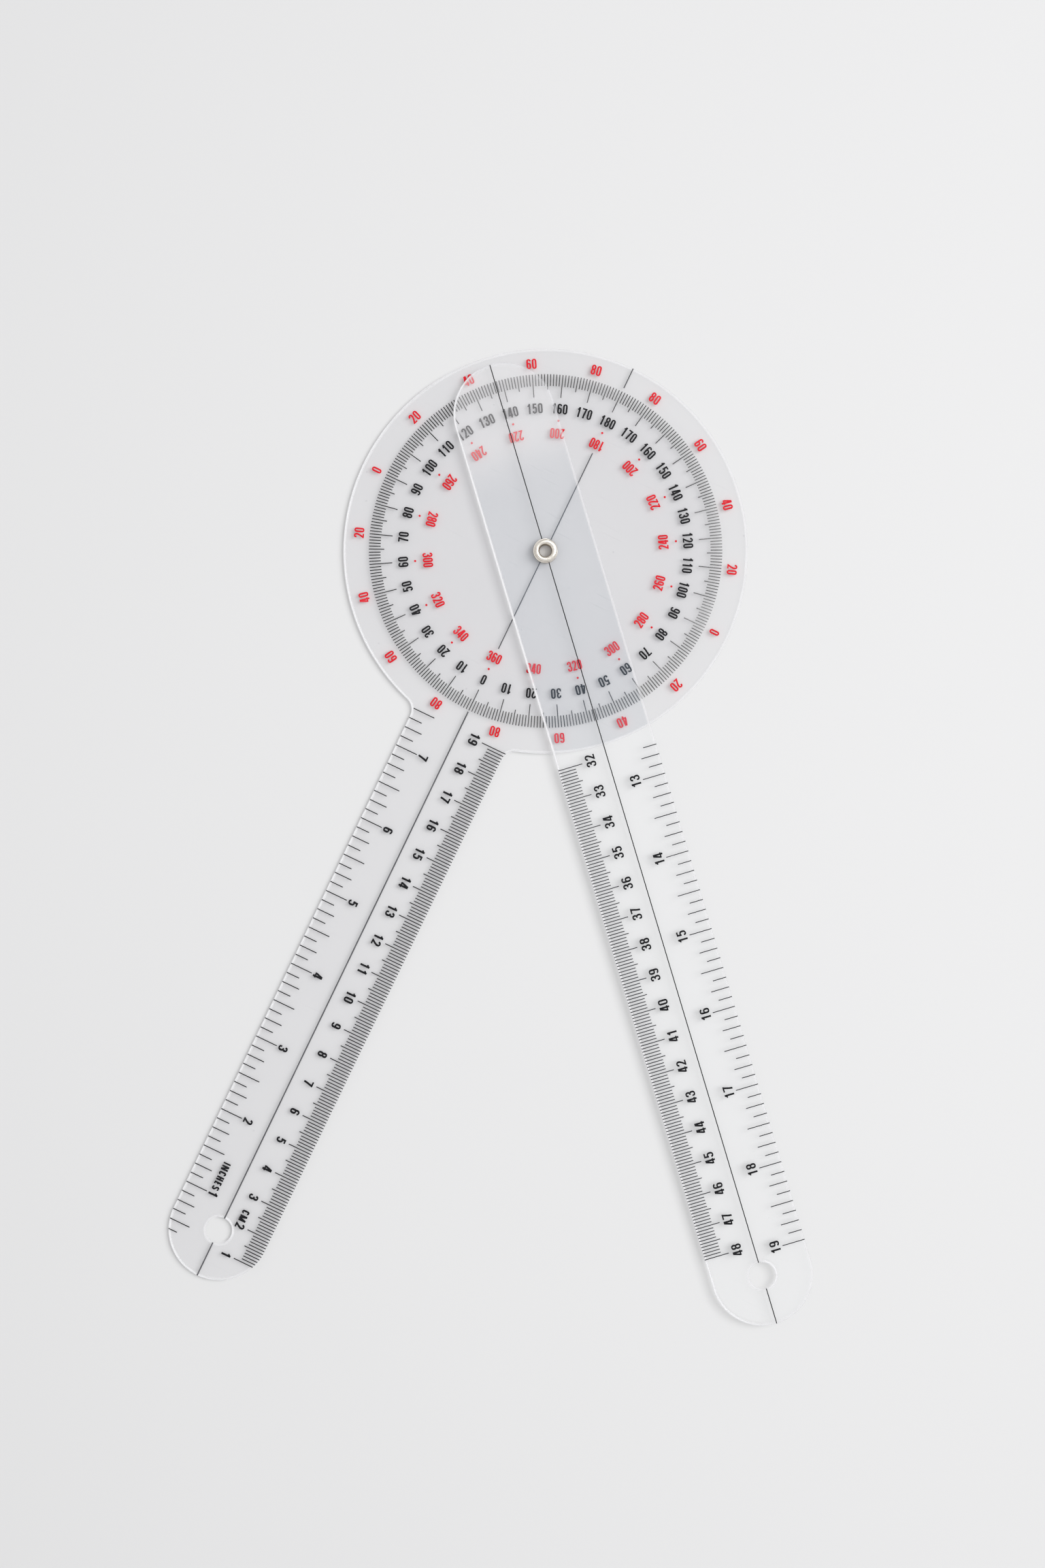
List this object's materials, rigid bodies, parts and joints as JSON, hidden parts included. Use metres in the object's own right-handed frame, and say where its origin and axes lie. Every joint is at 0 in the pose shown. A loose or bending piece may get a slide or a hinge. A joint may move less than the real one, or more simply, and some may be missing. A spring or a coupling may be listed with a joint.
{
  "type": "goniometer",
  "caption": "Full-circle goniometer: clear dial sheet with a fixed arm, clear moving arm on a hollow metal eyelet, degree marks and rulers.",
  "frame": {"origin": "pivot axis at the underside of the eyelet's flange, which is the resting plane", "axes": "+Z along the pivot axis, out of the printed faces; the fixed arm runs along -Y; at rest the moving arm stands 42.4 degrees counter-clockwise from the fixed arm, seen from +Z"},
  "size_m": [0.2392, 0.3163, 0.0038],
  "materials": {
    "clear_sheet": "clear sheet with a faint haze",
    "black_ink": "printed",
    "red_ink": "printed",
    "eyelet_metal": "nickel plated"
  },
  "bodies": {
    "dial": {"dial_plate": "clear_sheet", "pivot_eyelet": "eyelet_metal", "eyelet_washer": "eyelet_metal", "dial_dots": "red_ink", "degree_ring": "black_ink", "dial_centre_line": "black_ink", "dial_index_line": "black_ink", "fixed_arm_line": "black_ink", "fixed_arm_cm_scale": "black_ink", "fixed_arm_inch_scale": "black_ink"},
    "arm": {"moving_arm": "clear_sheet", "moving_arm_line": "black_ink", "moving_arm_cm_scale": "black_ink", "moving_arm_inch_scale": "black_ink"}
  },
  "joints": [
    {"name": "arm_turn", "type": "hinge", "parent": "dial", "child": "arm", "pos_m": [0, 0, 0], "axis": [0, 0, 1], "continuous": true}
  ]
}
